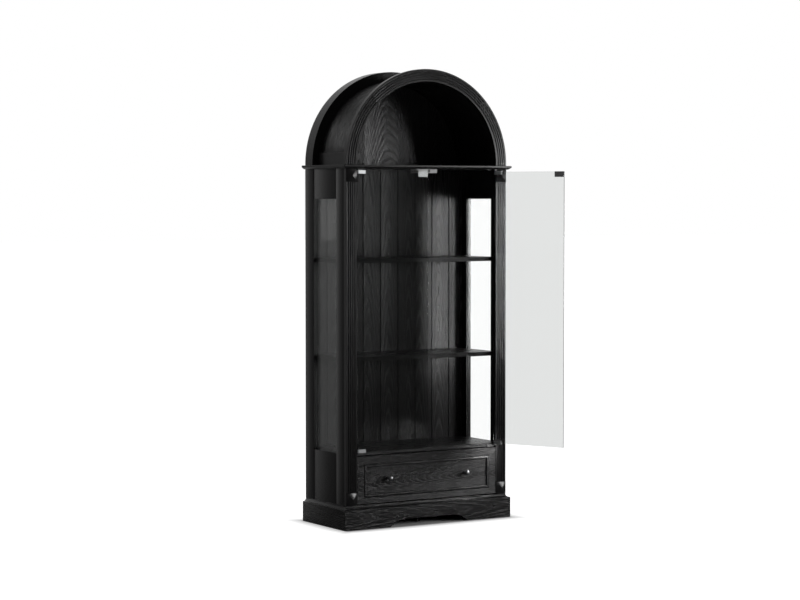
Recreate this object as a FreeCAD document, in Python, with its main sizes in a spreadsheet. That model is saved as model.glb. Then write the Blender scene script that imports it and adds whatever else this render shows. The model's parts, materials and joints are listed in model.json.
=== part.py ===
import FreeCAD, Part
import math
import os
import re

import Sketcher

# A tall display bookcase: a plinth with a shaped kick gap, one drawer, two frameless glass doors between
# fluted posts, glazed side frames, two loose shelves, a cornice, and an arched open niche on top.
# X runs to the right, Y to the back and Z up. The origin is on the floor, under the middle of the plinth.

Vector = FreeCAD.Vector

os.makedirs("parts", exist_ok=True)
doc = FreeCAD.newDocument("GlassDoorBookcase")

# Driving dimensions in millimetres (the opening of the door in degrees).
SIZES = {
    # carcase
    "body_width": (876.4, "across the outer faces of the side frames"),
    "body_depth": (377, "posts' front face to the rear edge"),
    "body_height": (1536, "top of the plinth to the underside of the cornice"),
    "side_thickness": (22, "stiles of the side frames"),
    "rail_thickness": (21, "rails and lower panels of the side frames"),
    "front_stile_width": (69, "side frame, front stile"),
    "rear_stile_width": (79, "side frame, rear stile"),
    "top_rail_height": (138, "side frame, top rail"),
    "lower_panel_height": (234, "side frame, solid panel beside the drawer"),
    "back_thickness": (12, "matched-board back"),
    "back_recess": (20, "rear edge to the back of the back panel"),
    "back_board_pitch": (96.5, "between the V grooves of the back panel"),
    "back_groove_width": (6, "V groove of the back panel"),
    "back_groove_depth": (3, "V groove of the back panel"),
    "fit_gap": (0.3, "clearance of a piece that drops into its place"),
    # plinth
    "plinth_height": (111, "floor to the carcase"),
    "plinth_reach": (17, "plinth beyond the carcase, front and sides"),
    "plinth_board": (20, "thickness of the plinth boards"),
    "quirk": (2, "small flat beside the cove"),
    "kick_height": (33, "kick gap, floor to its flat top"),
    "kick_flat": (260, "kick gap, length of its flat top"),
    "kick_radius": (118, "kick gap, arcs at its ends"),
    "base_thickness": (18, "base panel"),
    "block_size": (45, "plinth corner block"),
    "glide_height": (5, "floor glide"),
    "glide_radius": (12.5, "floor glide"),
    "bearer_width": (18, "bearer under the base panel"),
    "bearer_front": (100, "bearer, ahead of the middle of the plinth"),
    # posts and their blocks
    "post_width": (57, "fluted post and arch ring"),
    "post_depth": (20, "fluted post"),
    "flute_pitch": (11, "between two flutes"),
    "flute_width": (7.4, "one flute"),
    "flute_depth": (3.5, "one flute"),
    "lower_block_height": (59, "corner block on the plinth"),
    "upper_block_height": (60, "corner block under the cornice"),
    "block_proud": (3, "corner block beyond the post"),
    "block_bevel": (1.5, "edge of the corner block"),
    "block_point": (10, "pyramid on the corner block"),
    # cornice and arch
    "cornice_height": (17.5, "top panel and cornice"),
    "cornice_reach": (19, "cornice beyond the carcase"),
    "cornice_flat": (7, "flat under the cornice before its bevel"),
    "cornice_bevel": (8.5, "height of the bevel under the cornice"),
    "arch_stilt": (5.3, "cornice to the centre of the arch"),
    "arch_front_depth": (22, "front ring"),
    "arch_rear_depth": (68.5, "rear ring"),
    "arch_lining": (12.8, "barrel between the rings"),
    "arch_seat": (7.8, "rebate for the arch's back"),
    "foot_rail_height": (58.5, "rail along the foot of the barrel"),
    "foot_rail_thickness": (13.7, "rail along the foot of the barrel"),
    # inside
    "drawer_space": (226, "base to the underside of the deck"),
    "board_thickness": (19, "deck and shelves"),
    "deck_setback": (12, "posts' face to the deck's front edge"),
    "lower_space": (411, "deck to the lower shelf"),
    "middle_space": (430, "lower shelf to the upper shelf"),
    "shelf_setback": (34, "posts' face to the shelves' front edge"),
    "pin_radius": (2.5, "shelf pin"),
    "pin_length": (20, "shelf pin, half of it in the stile"),
    "pin_front": (55, "posts' face to the front pins"),
    "pin_rear": (15, "back panel to the rear pins"),
    "pin_play": (0.1, "pin hole over its pin"),
    # side glass
    "side_glass": (4, "pane of the side frame"),
    "glass_lap": (8, "pane behind the edge of its opening"),
    "bead_width": (20, "glazing bead"),
    "bead_thickness": (5, "glazing bead"),
    # doors
    "door_glass": (5, "door pane"),
    "door_proud": (3, "door pane beyond the posts"),
    "door_side_gap": (1.2, "door pane to its post"),
    "door_centre_gap": (2, "between the two panes"),
    "door_foot_gap": (2, "deck's top to the pane's lower edge, the pane hanging lower"),
    "door_head_gap": (10, "pane's upper edge to the cornice"),
    "pivot_inset": (5, "pin's axis to the pane's edge"),
    "door_angle": (114.5, "how far the right door stands open, degrees"),
    "clip_length": (37, "hinge clip, axis to its free end"),
    "clip_height": (16, "hinge clip"),
    "clip_wall": (3, "hinge clip"),
    "clip_play": (0.1, "clip beside the pane"),
    "bracket_thickness": (3, "hinge bracket"),
    "bracket_length": (35, "hinge bracket from the axis inwards"),
    "bracket_rise": (1, "underside of the deck to the lower bracket's plate"),
    "washer_radius": (5, "washer under the clip"),
    "strike_width": (50, "strike plate"),
    "strike_height": (26, "strike plate"),
    "strike_thickness": (1.2, "strike plate"),
    # touch latch
    "latch_width": (112, "housing of the double touch latch"),
    "latch_depth": (50, "housing of the double touch latch"),
    "latch_height": (18, "housing of the double touch latch"),
    "plunger_width": (35, "plunger"),
    "plunger_height": (11, "plunger"),
    "plunger_length": (26, "plunger"),
    "plunger_offset": (32, "plunger from the middle of the bookcase"),
    "plunger_travel": (3, "plunger when the door is pressed"),
    "plunger_proud": (6, "plunger's tip ahead of its housing"),
    # drawer
    "drawer_gap": (1.2, "round the drawer front at its sides"),
    "drawer_rise": (3.5, "drawer front above the plinth"),
    "drawer_head_gap": (2.5, "drawer front to the deck"),
    "drawer_margin_side": (37, "edge of the drawer front to its moulding"),
    "drawer_margin_low": (29.5, "edge of the drawer front to its moulding"),
    "drawer_margin_high": (38.5, "edge of the drawer front to its moulding"),
    "drawer_recess": (6, "depth of the drawer front's panel"),
    "bead_moulding_width": (13, "drawer moulding"),
    "bead_moulding_proud": (1, "drawer moulding beyond the drawer front"),
    "bead_moulding_round": (5, "rounding of the drawer moulding"),
    "drawer_board": (12, "drawer sides and back"),
    "drawer_side_height": (150, "drawer sides"),
    "drawer_side_rise": (26, "drawer sides above the foot of the drawer front"),
    "drawer_rear_gap": (25, "drawer box to the back panel"),
    "drawer_bottom_board": (6, "drawer bottom"),
    "drawer_bottom_rise": (10, "drawer bottom above the foot of the sides"),
    "drawer_groove": (5, "groove for the drawer bottom"),
    "knob_spacing": (421, "between the two knobs"),
    "knob_height": (225, "knobs above the floor"),
    "knob_radius": (12.5, "knob"),
    "knob_foot_radius": (7.5, "foot of the knob"),
    "knob_neck_radius": (4.5, "neck of the knob"),
    "knob_length": (28, "knob from the drawer's panel"),
    "knob_foot": (3, "thickness of the knob's foot"),
    "knob_neck_start": (7, "drawer's panel to the straight neck"),
    "knob_neck_end": (14, "drawer's panel to the end of the neck"),
    "knob_rim_start": (17.5, "drawer's panel to the knob's rim"),
    "knob_dome": (7, "height of the knob's dome"),
    # runners
    "runner_width": (12.7, "cabinet packing to the drawer side"),
    "runner_height": (45, "cabinet member"),
    "runner_sheet": (1.2, "sheet of the runner members"),
    "runner_step": (1.6, "one member's web to the next one's"),
    "runner_lip": (9, "depth of the cabinet and middle members"),
    "runner_front": (2, "back of the posts to the runners"),
    "runner_rear_gap": (23, "runners to the back panel"),
    "packing_height": (70, "packing that carries a runner"),
}

# Planes and lines that several pieces share, as formulas of the sizes and of each other.
LEVELS = {
    "half_body": "body_width / 2",
    "front": "-(body_depth - plinth_reach) / 2",
    "rear": "(body_depth + plinth_reach) / 2",
    "side_inner": "half_body - side_thickness",
    "bead_inner": "side_inner - bead_thickness",
    "post_inner": "half_body - post_width",
    "post_back": "front + post_depth",
    "opening_front": "post_back + front_stile_width",
    "opening_rear": "rear - rear_stile_width",
    "back_rear": "rear - back_recess",
    "back_front": "back_rear - back_thickness",
    "body_top": "plinth_height + body_height",
    "opening_bottom": "plinth_height + lower_panel_height",
    "opening_top": "body_top - top_rail_height",
    "plinth_inner": "half_body + plinth_reach - plinth_board",
    "plinth_front_inner": "front - plinth_reach + plinth_board",
    "base_bottom": "plinth_height - base_thickness",
    "deck_bottom": "plinth_height + drawer_space",
    "deck_top": "deck_bottom + board_thickness",
    "deck_front": "front + deck_setback",
    "shelf_front": "front + shelf_setback",
    "shelf_half": "bead_inner - fit_gap",
    "lower_shelf": "deck_top + lower_space",
    "upper_shelf": "lower_shelf + board_thickness + middle_space",
    "cornice_top": "body_top + cornice_height",
    "arch_centre": "cornice_top + arch_stilt",
    "ring_front_back": "front + arch_front_depth",
    "ring_rear_front": "rear - arch_rear_depth",
    "barrel_radius": "post_inner + arch_lining",
    "rebate": "side_glass + 2 * fit_gap",
    "flute_radius": "(flute_width ^ 2 / 4 + flute_depth ^ 2) / (2 * flute_depth)",
    "pane_edge": "post_inner - door_side_gap",
    "pane_front": "front - door_proud",
    "pane_back": "pane_front + door_glass",
    "pane_bottom": "deck_top - door_foot_gap",
    "pane_top": "body_top - door_head_gap",
    "pivot_x": "pane_edge - pivot_inset",
    "pivot_y": "pane_front + door_glass / 2",
    "clip_slot": "door_glass / 2 + clip_play",
    "clip_half": "clip_slot + clip_wall",
    "strike_back": "pane_back + strike_thickness",
    "latch_front": "strike_back + fit_gap + plunger_proud",
    "latch_bottom": "body_top - latch_height",
    "plunger_middle": "latch_bottom + latch_height / 2",
    "drawer_half": "post_inner - drawer_gap",
    "drawer_foot": "plinth_height + drawer_rise",
    "drawer_head": "deck_bottom - drawer_head_gap",
    "moulding_half": "drawer_half - drawer_margin_side",
    "moulding_low": "drawer_foot + drawer_margin_low",
    "moulding_high": "drawer_head - drawer_margin_high",
    "drawer_panel": "front + drawer_recess",
    "box_half": "post_inner - runner_width",
    "box_inner": "box_half - drawer_board",
    "box_bottom": "drawer_foot + drawer_side_rise",
    "box_top": "box_bottom + drawer_side_height",
    "box_rear": "back_front - drawer_rear_gap",
    "runner_middle": "(box_bottom + box_top) / 2",
    "runner_start": "post_back + runner_front",
    "runner_end": "back_front - runner_rear_gap",
}

sheet = doc.addObject("Spreadsheet::Sheet", "Sizes")
for row, (alias, (size, meaning)) in enumerate(SIZES.items(), 1):
    sheet.set("A%d" % row, alias)
    sheet.set("B%d" % row, str(size))
    sheet.set("C%d" % row, meaning)
    sheet.setAlias("B%d" % row, alias)
doc.recompute()


def formula(text):
    """Spell a formula out for the document: levels become their own formulas, sizes point at the sheet."""
    def spell(match):
        word = match.group(0)
        if word in LEVELS:
            return "(" + formula(LEVELS[word]) + ")"
        if word in SIZES:
            return "Sizes." + word
        return word
    return re.sub(r"[a-z_]+", spell, text)


def value(text):
    """The number that a formula gives now."""
    return float(sheet.evalExpression(formula(text)))


def minus(text):
    return "-(" + text + ")"


def bind(obj, prop, text):
    obj.setExpression(prop, formula(text))


def place(obj, x="0", y="0", z="0"):
    for axis, text in zip("xyz", (x, y, z)):
        bind(obj, "Placement.Base." + axis, text)
    return obj


# ---- makers of simple solids, booleans and copies

def board(name, x, y, z):
    """A straight board between three pairs of planes."""
    box = doc.addObject("Part::Box", name)
    place(box, x[0], y[0], z[0])
    for prop, (low, high) in zip(("Length", "Width", "Height"), (x, y, z)):
        bind(box, prop, "(%s) - (%s)" % (high, low))
    return box


def rod(name, radius, x, y, z):
    """A round rod: one of x, y, z is the pair of planes that it runs between, the others are its axis."""
    turned = {0: FreeCAD.Rotation(Vector(0, 1, 0), 90), 1: FreeCAD.Rotation(Vector(1, 0, 0), -90),
              2: FreeCAD.Rotation()}
    along = [isinstance(place_, tuple) for place_ in (x, y, z)].index(True)
    low, high = (x, y, z)[along]
    bar = doc.addObject("Part::Cylinder", name)
    bar.Placement = FreeCAD.Placement(Vector(), turned[along])
    place(bar, *[place_[0] if isinstance(place_, tuple) else place_ for place_ in (x, y, z)])
    bind(bar, "Radius", radius)
    bind(bar, "Height", "(%s) - (%s)" % (high, low))
    return bar


def group(name, *members):
    """Several solids kept as one node."""
    compound = doc.addObject("Part::Compound", name)
    compound.Links = list(members)
    return compound


def fuse(name, *members):
    joined = doc.addObject("Part::MultiFuse", name)
    joined.Shapes = list(members)
    joined.Refine = True
    return joined


def cut(name, base, *tools):
    result = doc.addObject("Part::Cut", name)
    result.Base = base
    result.Tool = tools[0] if len(tools) == 1 else group(name + "_tools", *tools)
    return result


def mirror(name, source):
    """The left-hand twin of a right-hand piece."""
    twin = doc.addObject("Part::Mirroring", name)
    twin.Source = source
    twin.Base = Vector(0, 0, 0)
    twin.Normal = Vector(1, 0, 0)
    return twin


def pair(name, right_piece):
    """A right-hand piece and its left-hand twin in one node."""
    return group(name, right_piece, mirror(name + "_twin", right_piece))


def swung(name, closed_piece):
    """A piece of the right door, turned about the door's pins by the opening of the door."""
    turned = group(name, closed_piece)
    turned.Placement = FreeCAD.Placement(Vector(), FreeCAD.Rotation(Vector(0, 0, 1), 1))
    turn = "(door_angle * 1 deg)"
    place(turned, "pivot_x - cos(%s) * pivot_x + sin(%s) * pivot_y" % (turn, turn),
          "pivot_y - sin(%s) * pivot_x - cos(%s) * pivot_y" % (turn, turn))
    bind(turned, "Placement.Rotation.Angle", turn)
    return turned


# ---- makers of sketched bodies

def new_body(name, x="0", y="0", z="0"):
    return place(doc.addObject("PartDesign::Body", name), x, y, z)


def origin_plane(body, role):
    return [feature for feature in body.Origin.OriginFeatures if feature.Role == role][0]


def short_arc(start, end, radius):
    """The short arc between two points, its centre left of the way if the radius is positive. A sketch
    keeps every arc anticlockwise, so one that is travelled clockwise is drawn from its end."""
    way = end - start
    left = Vector(-way.y, way.x, 0).normalize()
    reach = math.sqrt(max(radius ** 2 - (way.Length / 2) ** 2, 0))
    centre = (start + end) * 0.5 + left * math.copysign(reach, radius)
    first, last = (start, end) if radius > 0 else (end, start)
    angles = [math.atan2(point.y - centre.y, point.x - centre.x) for point in (first, last)]
    circle = Part.Circle(centre, Vector(0, 0, 1), abs(radius))
    return Part.ArcOfCircle(circle, angles[0], angles[1] + (2 * math.pi if angles[1] < angles[0] else 0))


def draw_loop(sketch, corners):
    """Draw one closed loop and dimension it from the sketch's origin. A corner is (x, y), or (x, y, radius)
    where an arc leads to the next corner: its centre is left of the way, or right of it for "-(...)"."""
    points = [Vector(value(corner[0]), value(corner[1]), 0) for corner in corners]
    ends = []
    for index, corner in enumerate(corners):
        start, end = points[index], points[(index + 1) % len(points)]
        radius = value(corner[2]) if len(corner) == 3 else 0
        shape = short_arc(start, end, radius) if radius else Part.LineSegment(start, end)
        edge = sketch.addGeometry(shape, False)
        ends.append((edge, 1, 2) if radius >= 0 else (edge, 2, 1))
    for index, corner in enumerate(corners):
        edge, near_end, far_end = ends[index]
        next_edge, next_near, _ = ends[(index + 1) % len(ends)]
        sketch.addConstraint(Sketcher.Constraint("Coincident", edge, far_end, next_edge, next_near))
        for kind, text, number in (("DistanceX", corner[0], points[index].x),
                                   ("DistanceY", corner[1], points[index].y)):
            rule = sketch.addConstraint(Sketcher.Constraint(kind, -1, 1, edge, near_end, number))
            bind(sketch, "Constraints[%d]" % rule, text)
        if len(corner) == 3:
            rule = sketch.addConstraint(Sketcher.Constraint("Radius", edge, abs(value(corner[2]))))
            bind(sketch, "Constraints[%d]" % rule, "abs(%s)" % corner[2])


def sketch_on(body, name, role, *loops):
    sketch = body.newObject("Sketcher::SketchObject", name)
    sketch.AttachmentSupport = [(origin_plane(body, role), "")]
    sketch.MapMode = "FlatFace"
    for corners in loops:
        draw_loop(sketch, corners)
    return sketch


def pad(body, sketch, length, symmetric=False, reverse=False):
    feature = body.newObject("PartDesign::Pad", "pad")
    feature.Profile = sketch
    bind(feature, "Length", length)
    feature.SideType = "Symmetric" if symmetric else "One side"
    feature.Reversed = reverse
    doc.recompute()
    return feature


def pocket_through(body, sketch):
    """Cut a sketch right through the body, both ways from its plane."""
    before = body.Shape.Volume
    feature = body.newObject("PartDesign::Pocket", "pocket")
    feature.Profile = sketch
    feature.Type = "ThroughAll"
    feature.SideType = "Symmetric"
    doc.recompute()
    if not body.Shape.Volume < before:
        raise RuntimeError(body.Label + ": the pocket removes nothing")
    return feature


def rectangle(x, y):
    return [(x[0], y[0]), (x[1], y[0]), (x[1], y[1]), (x[0], y[1])]


# ---- plinth

def moulding_runs(name, section, inner_x, inner_y, thickness):
    """A section that runs along the front and turns both front corners in mitres. The section's corners are
    (distance outwards from the inner face, height), and an arc's radius is that of the right-hand run."""
    reach = "(%s + %s)" % (inner_x, thickness)

    front_run = new_body(name + "_front", y=inner_y)
    flipped = [(minus(corner[0]), corner[1]) + tuple(minus(radius) for radius in corner[2:])
               for corner in section]
    pad(front_run, sketch_on(front_run, "section", "YZ_Plane", flipped), "2 * " + reach, symmetric=True)
    mitres = [[(side + reach, minus(thickness)), (side + reach, "0"), (side + "(%s)" % inner_x, "0")]
              for side in ("", "-")]
    pocket_through(front_run, sketch_on(front_run, "mitres", "XY_Plane", *mitres))

    side_run = new_body(name + "_right", inner_x, "rear")
    length = "(rear - (%s) + (%s))" % (inner_y, thickness)
    pad(side_run, sketch_on(side_run, "section", "XZ_Plane", section), length)
    mitre = [("0", minus(length)), (thickness, minus(length)), ("0", "(%s) - %s" % (thickness, length))]
    pocket_through(side_run, sketch_on(side_run, "mitre", "XY_Plane", mitre))
    return front_run, side_run, mirror(name + "_left", side_run)


def make_plinth():
    cove = "plinth_reach - quirk"
    section = [("0", "0"), ("plinth_board", "0"), ("plinth_board", "plinth_height - plinth_reach"),
               ("plinth_board - quirk", "plinth_height - plinth_reach", minus(cove)),
               ("plinth_board - plinth_reach", "plinth_height - quirk"),
               ("plinth_board - plinth_reach", "plinth_height"), ("0", "plinth_height")]
    front_board, right_board, left_board = moulding_runs(
        "plinth", section, "plinth_inner", "plinth_front_inner", "plinth_board")

    shoulder = "kick_flat / 2"
    toe = "kick_flat / 2 + sqrt(kick_height * (2 * kick_radius - kick_height))"
    kick = [(minus(toe), "0", minus("kick_radius")), (minus(shoulder), "kick_height"),
            (shoulder, "kick_height", minus("kick_radius")), (toe, "0")]
    pocket_through(front_board, sketch_on(front_board, "kick_gap", "XZ_Plane", kick))

    across = (minus("plinth_inner"), "plinth_inner")
    back_board = board("plinth_back", across, ("rear - plinth_board", "rear"), ("0", "base_bottom"))
    base = board("base_panel", across, ("plinth_front_inner", "rear"), ("base_bottom", "plinth_height"))
    bearer = board("plinth_bearer", (minus("bearer_width / 2"), "bearer_width / 2"),
                   (minus("bearer_front"), "rear - plinth_board"), ("0", "base_bottom"))

    block_x = ("plinth_inner - block_size", "plinth_inner")
    rows = {"front": ("plinth_front_inner", "plinth_front_inner + block_size"),
            "rear": ("rear - plinth_board - block_size", "rear - plinth_board")}
    blocks = []
    glides = []
    for row_name, (low, high) in rows.items():
        block = board("block_" + row_name, block_x, (low, high), ("glide_height", "base_bottom"))
        glide = rod("glide_" + row_name, "glide_radius", "plinth_inner - block_size / 2",
                    "((%s) + (%s)) / 2" % (low, high), ("0", "glide_height"))
        blocks += [block, mirror("block_%s_twin" % row_name, block)]
        glides += [glide, mirror("glide_%s_twin" % row_name, glide)]
    return [front_board, right_board, left_board, back_board, base, bearer,
            group("plinth_corner_blocks", *blocks), group("floor_glides", *glides)]


# ---- side frames and their glass

def pin_hole(name, y, shelf):
    return rod(name, "pin_radius + pin_play", ("side_inner", "side_inner + pin_length / 2 + pin_play"),
               y, "%s - pin_radius" % shelf)


PIN_ROWS = {"front": "front + pin_front", "rear": "back_front - pin_rear"}
SHELVES = {"lower": "lower_shelf", "upper": "upper_shelf"}


def make_side_frames():
    thick = ("side_inner", "half_body")
    thin = ("side_inner", "side_inner + rail_thickness")
    tall = ("plinth_height", "body_top")
    between = ("opening_front", "opening_rear")
    rebate_x = ("side_inner", "side_inner + rebate")
    rebate_z = ("opening_bottom - glass_lap", "opening_top + glass_lap")

    def stile(name, row, y, rebate_y):
        blank = board(name + "_blank", thick, y, tall)
        seat = board(name + "_rebate", rebate_x, rebate_y, rebate_z)
        holes = [pin_hole("%s_hole_%s" % (name, shelf), PIN_ROWS[row], SHELVES[shelf]) for shelf in SHELVES]
        return cut(name, blank, seat, *holes)

    def rail(name, z, rebate_z_):
        blank = board(name + "_blank", thin, between, z)
        return cut(name, blank, board(name + "_rebate", rebate_x, between, rebate_z_))

    right = {
        "front_stile": stile("side_right_front_stile", "front", ("post_back", "opening_front"),
                             ("opening_front - glass_lap", "opening_front")),
        "rear_stile": stile("side_right_rear_stile", "rear", ("opening_rear", "rear"),
                            ("opening_rear", "opening_rear + glass_lap")),
        "top_rail": rail("side_right_top_rail", ("opening_top", "body_top"),
                         ("opening_top", "opening_top + glass_lap")),
        "bottom_panel": rail("side_right_bottom_panel", ("plinth_height", "opening_bottom"),
                             ("opening_bottom - glass_lap", "opening_bottom")),
        "glass": board("side_right_glass", ("side_inner + fit_gap", "side_inner + fit_gap + side_glass"),
                       ("opening_front - glass_lap + fit_gap", "opening_rear + glass_lap - fit_gap"),
                       ("opening_bottom - glass_lap + fit_gap", "opening_top + glass_lap - fit_gap")),
    }
    bead_x = ("bead_inner", "side_inner")
    bead_z = ("deck_top", "opening_top + bead_width")
    right["glazing_beads"] = group(
        "side_right_glazing_beads",
        board("bead_front", bead_x, ("opening_front - bead_width", "opening_front"), bead_z),
        board("bead_rear", bead_x, ("opening_rear", "opening_rear + bead_width"), bead_z),
        board("bead_top", bead_x, between, ("opening_top", "opening_top + bead_width")))
    left = [mirror("side_left_" + piece, source) for piece, source in right.items()]
    return list(right.values()) + left


# ---- fluted posts, corner blocks and cornice

FLUTES = 4


def fluted_section(inner, outer, face, back):
    """A rectangle whose front edge carries the flutes: shallow arcs, evenly spaced about its middle."""
    corners = [(inner, back), (inner, face)]
    for number in range(FLUTES):
        middle = "((%s) + (%s)) / 2 + (%s) * flute_pitch" % (inner, outer, number - (FLUTES - 1) / 2)
        corners += [(middle + " - flute_width / 2", face, minus("flute_radius")),
                    (middle + " + flute_width / 2", face)]
    return corners + [(outer, face), (outer, back)]


def make_posts():
    post = new_body("pilaster_right", z="plinth_height + lower_block_height")
    section = fluted_section("post_inner", "half_body", "front", "post_back")
    pad(post, sketch_on(post, "section", "XY_Plane", section),
        "body_height - lower_block_height - upper_block_height")

    def corner_block(name, low, high):
        plain = board(name + "_plain", ("post_inner", "half_body"), ("front", "post_back"), (low, high))
        face = bevelled(name + "_face", low, high, "0", "block_proud", "block_bevel")
        point = bevelled(name + "_point", low, high, "block_proud", "block_point", None)
        return fuse(name, plain, face, point)

    def bevelled(name, low, high, start, rise, bevel):
        """A tapering slab in front of the block: to a smaller face, or to a point where bevel is None."""
        inset = "0" if bevel else "block_bevel"
        width = "post_width - 2 * (%s)" % inset
        height = "(%s) - (%s) - 2 * (%s)" % (high, low, inset)
        wedge = doc.addObject("Part::Wedge", name)
        wedge.Placement = FreeCAD.Placement(Vector(), FreeCAD.Rotation(Vector(0, 0, 1), 180))
        place(wedge, "half_body - (%s)" % inset, "front - (%s)" % start, "(%s) + (%s)" % (low, inset))
        taper_x, taper_z = (bevel, bevel) if bevel else ("(%s) / 2" % width, "(%s) / 2" % height)
        limits = {"Xmin": "0", "Xmax": width, "Ymin": "0", "Ymax": rise, "Zmin": "0", "Zmax": height,
                  "X2min": taper_x, "X2max": "(%s) - (%s)" % (width, taper_x),
                  "Z2min": taper_z, "Z2max": "(%s) - (%s)" % (height, taper_z)}
        for prop, text in limits.items():
            bind(wedge, prop, text)
        return wedge

    blocks = group("corner_blocks_right",
                   corner_block("block_low", "plinth_height", "plinth_height + lower_block_height"),
                   corner_block("block_high", "body_top - upper_block_height", "body_top"))
    return [post, mirror("pilaster_left", post), blocks, mirror("corner_blocks_left", blocks)]


def make_cornice():
    across = (minus("half_body"), "half_body")
    top = board("top_panel", across, ("front", "rear"), ("body_top", "cornice_top"))
    section = [("0", "body_top"), ("cornice_flat", "body_top"), ("cornice_reach", "body_top + cornice_bevel"),
               ("cornice_reach", "cornice_top"), ("0", "cornice_top")]
    return [top] + list(moulding_runs("cornice", section, "half_body", "front", "cornice_reach"))


# ---- arch

def arch_band(name, section):
    """Half a turn of a section about the arch's centre, on straight legs down to the cornice."""
    band = new_body(name, z="arch_centre")
    sketch = sketch_on(band, "section", "XY_Plane", section)
    sweep = band.newObject("PartDesign::Revolution", "half_turn")
    sweep.Profile = sketch
    sweep.ReferenceAxis = (sketch, ["V_Axis"])
    sweep.Angle = 180
    sweep.Reversed = True
    doc.recompute()
    leg = pad(band, sketch, "arch_stilt", reverse=True)
    twin = band.newObject("PartDesign::Mirrored", "other_leg")
    twin.Originals = [leg]
    twin.MirrorPlane = (origin_plane(band, "YZ_Plane"), [""])
    band.Tip = twin
    doc.recompute()
    return band


def make_arch():
    front_ring = arch_band("arch_front_ring",
                           fluted_section("post_inner", "half_body", "front", "ring_front_back"))
    barrel = arch_band("arch_barrel", rectangle(("post_inner", "barrel_radius"),
                                                ("ring_front_back", "ring_rear_front")))
    rear_ring = arch_band("arch_rear_ring", [
        ("post_inner", "ring_rear_front"), ("half_body", "ring_rear_front"), ("half_body", "rear"),
        ("post_inner + arch_seat", "rear"), ("post_inner + arch_seat", "back_front"),
        ("post_inner", "back_front")])
    back = arch_band("arch_back", rectangle(("0", "post_inner + arch_seat - fit_gap"),
                                            ("back_front", "back_rear")))
    foot = board("arch_foot_right", ("barrel_radius", "barrel_radius + foot_rail_thickness"),
                 ("ring_front_back", "ring_rear_front"), ("cornice_top", "cornice_top + foot_rail_height"))
    return [front_ring, barrel, rear_ring, back, foot, mirror("arch_foot_left", foot)]


# ---- deck, shelves and back

def make_inside():
    deck = new_body("display_deck", z="deck_bottom")
    notched = [("side_inner", "back_front"), (minus("side_inner"), "back_front"),
               (minus("side_inner"), "post_back"), (minus("post_inner"), "post_back"),
               (minus("post_inner"), "deck_front"), ("post_inner", "deck_front"),
               ("post_inner", "post_back"), ("side_inner", "post_back")]
    pad(deck, sketch_on(deck, "outline", "XY_Plane", notched), "board_thickness")

    shelf_x = (minus("shelf_half"), "shelf_half")
    shelf_y = ("shelf_front", "back_front - fit_gap")
    shelves = [board("shelf_" + shelf, shelf_x, shelf_y, (level, level + " + board_thickness"))
               for shelf, level in SHELVES.items()]

    pin_x = ("side_inner - pin_length / 2", "side_inner + pin_length / 2")
    pins = []
    for shelf, level in SHELVES.items():
        for row, y in PIN_ROWS.items():
            pin = rod("pin_%s_%s" % (shelf, row), "pin_radius", pin_x, y, level + " - pin_radius")
            pins += [pin, mirror("pin_%s_%s_twin" % (shelf, row), pin)]

    back = new_body("back_panel", y="back_rear", z="plinth_height")
    outline = rectangle((minus("side_inner"), "side_inner"), ("0", "body_height"))
    pad(back, sketch_on(back, "outline", "XZ_Plane", outline), "back_thickness")
    grooves = int(2 * (value("side_inner") // value("back_board_pitch")))
    first = "(%s) * back_board_pitch" % (-(grooves - 1) / 2)
    vee = [("%s - back_groove_width / 2" % first, minus("back_thickness")),
           ("%s + back_groove_width / 2" % first, minus("back_thickness")),
           (first, "back_groove_depth - back_thickness")]
    groove_sketch = sketch_on(back, "groove", "XY_Plane", vee)
    first_groove = pocket_through(back, groove_sketch)
    row = back.newObject("PartDesign::LinearPattern", "grooves")
    row.Originals = [first_groove]
    row.Direction = (groove_sketch, ["H_Axis"])
    row.Occurrences = grooves
    bind(row, "Length", "%d * back_board_pitch" % (grooves - 1))
    back.Tip = row
    doc.recompute()
    return [deck] + shelves + [group("shelf_pins", *pins), back]


# ---- doors, hinges and latch

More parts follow.
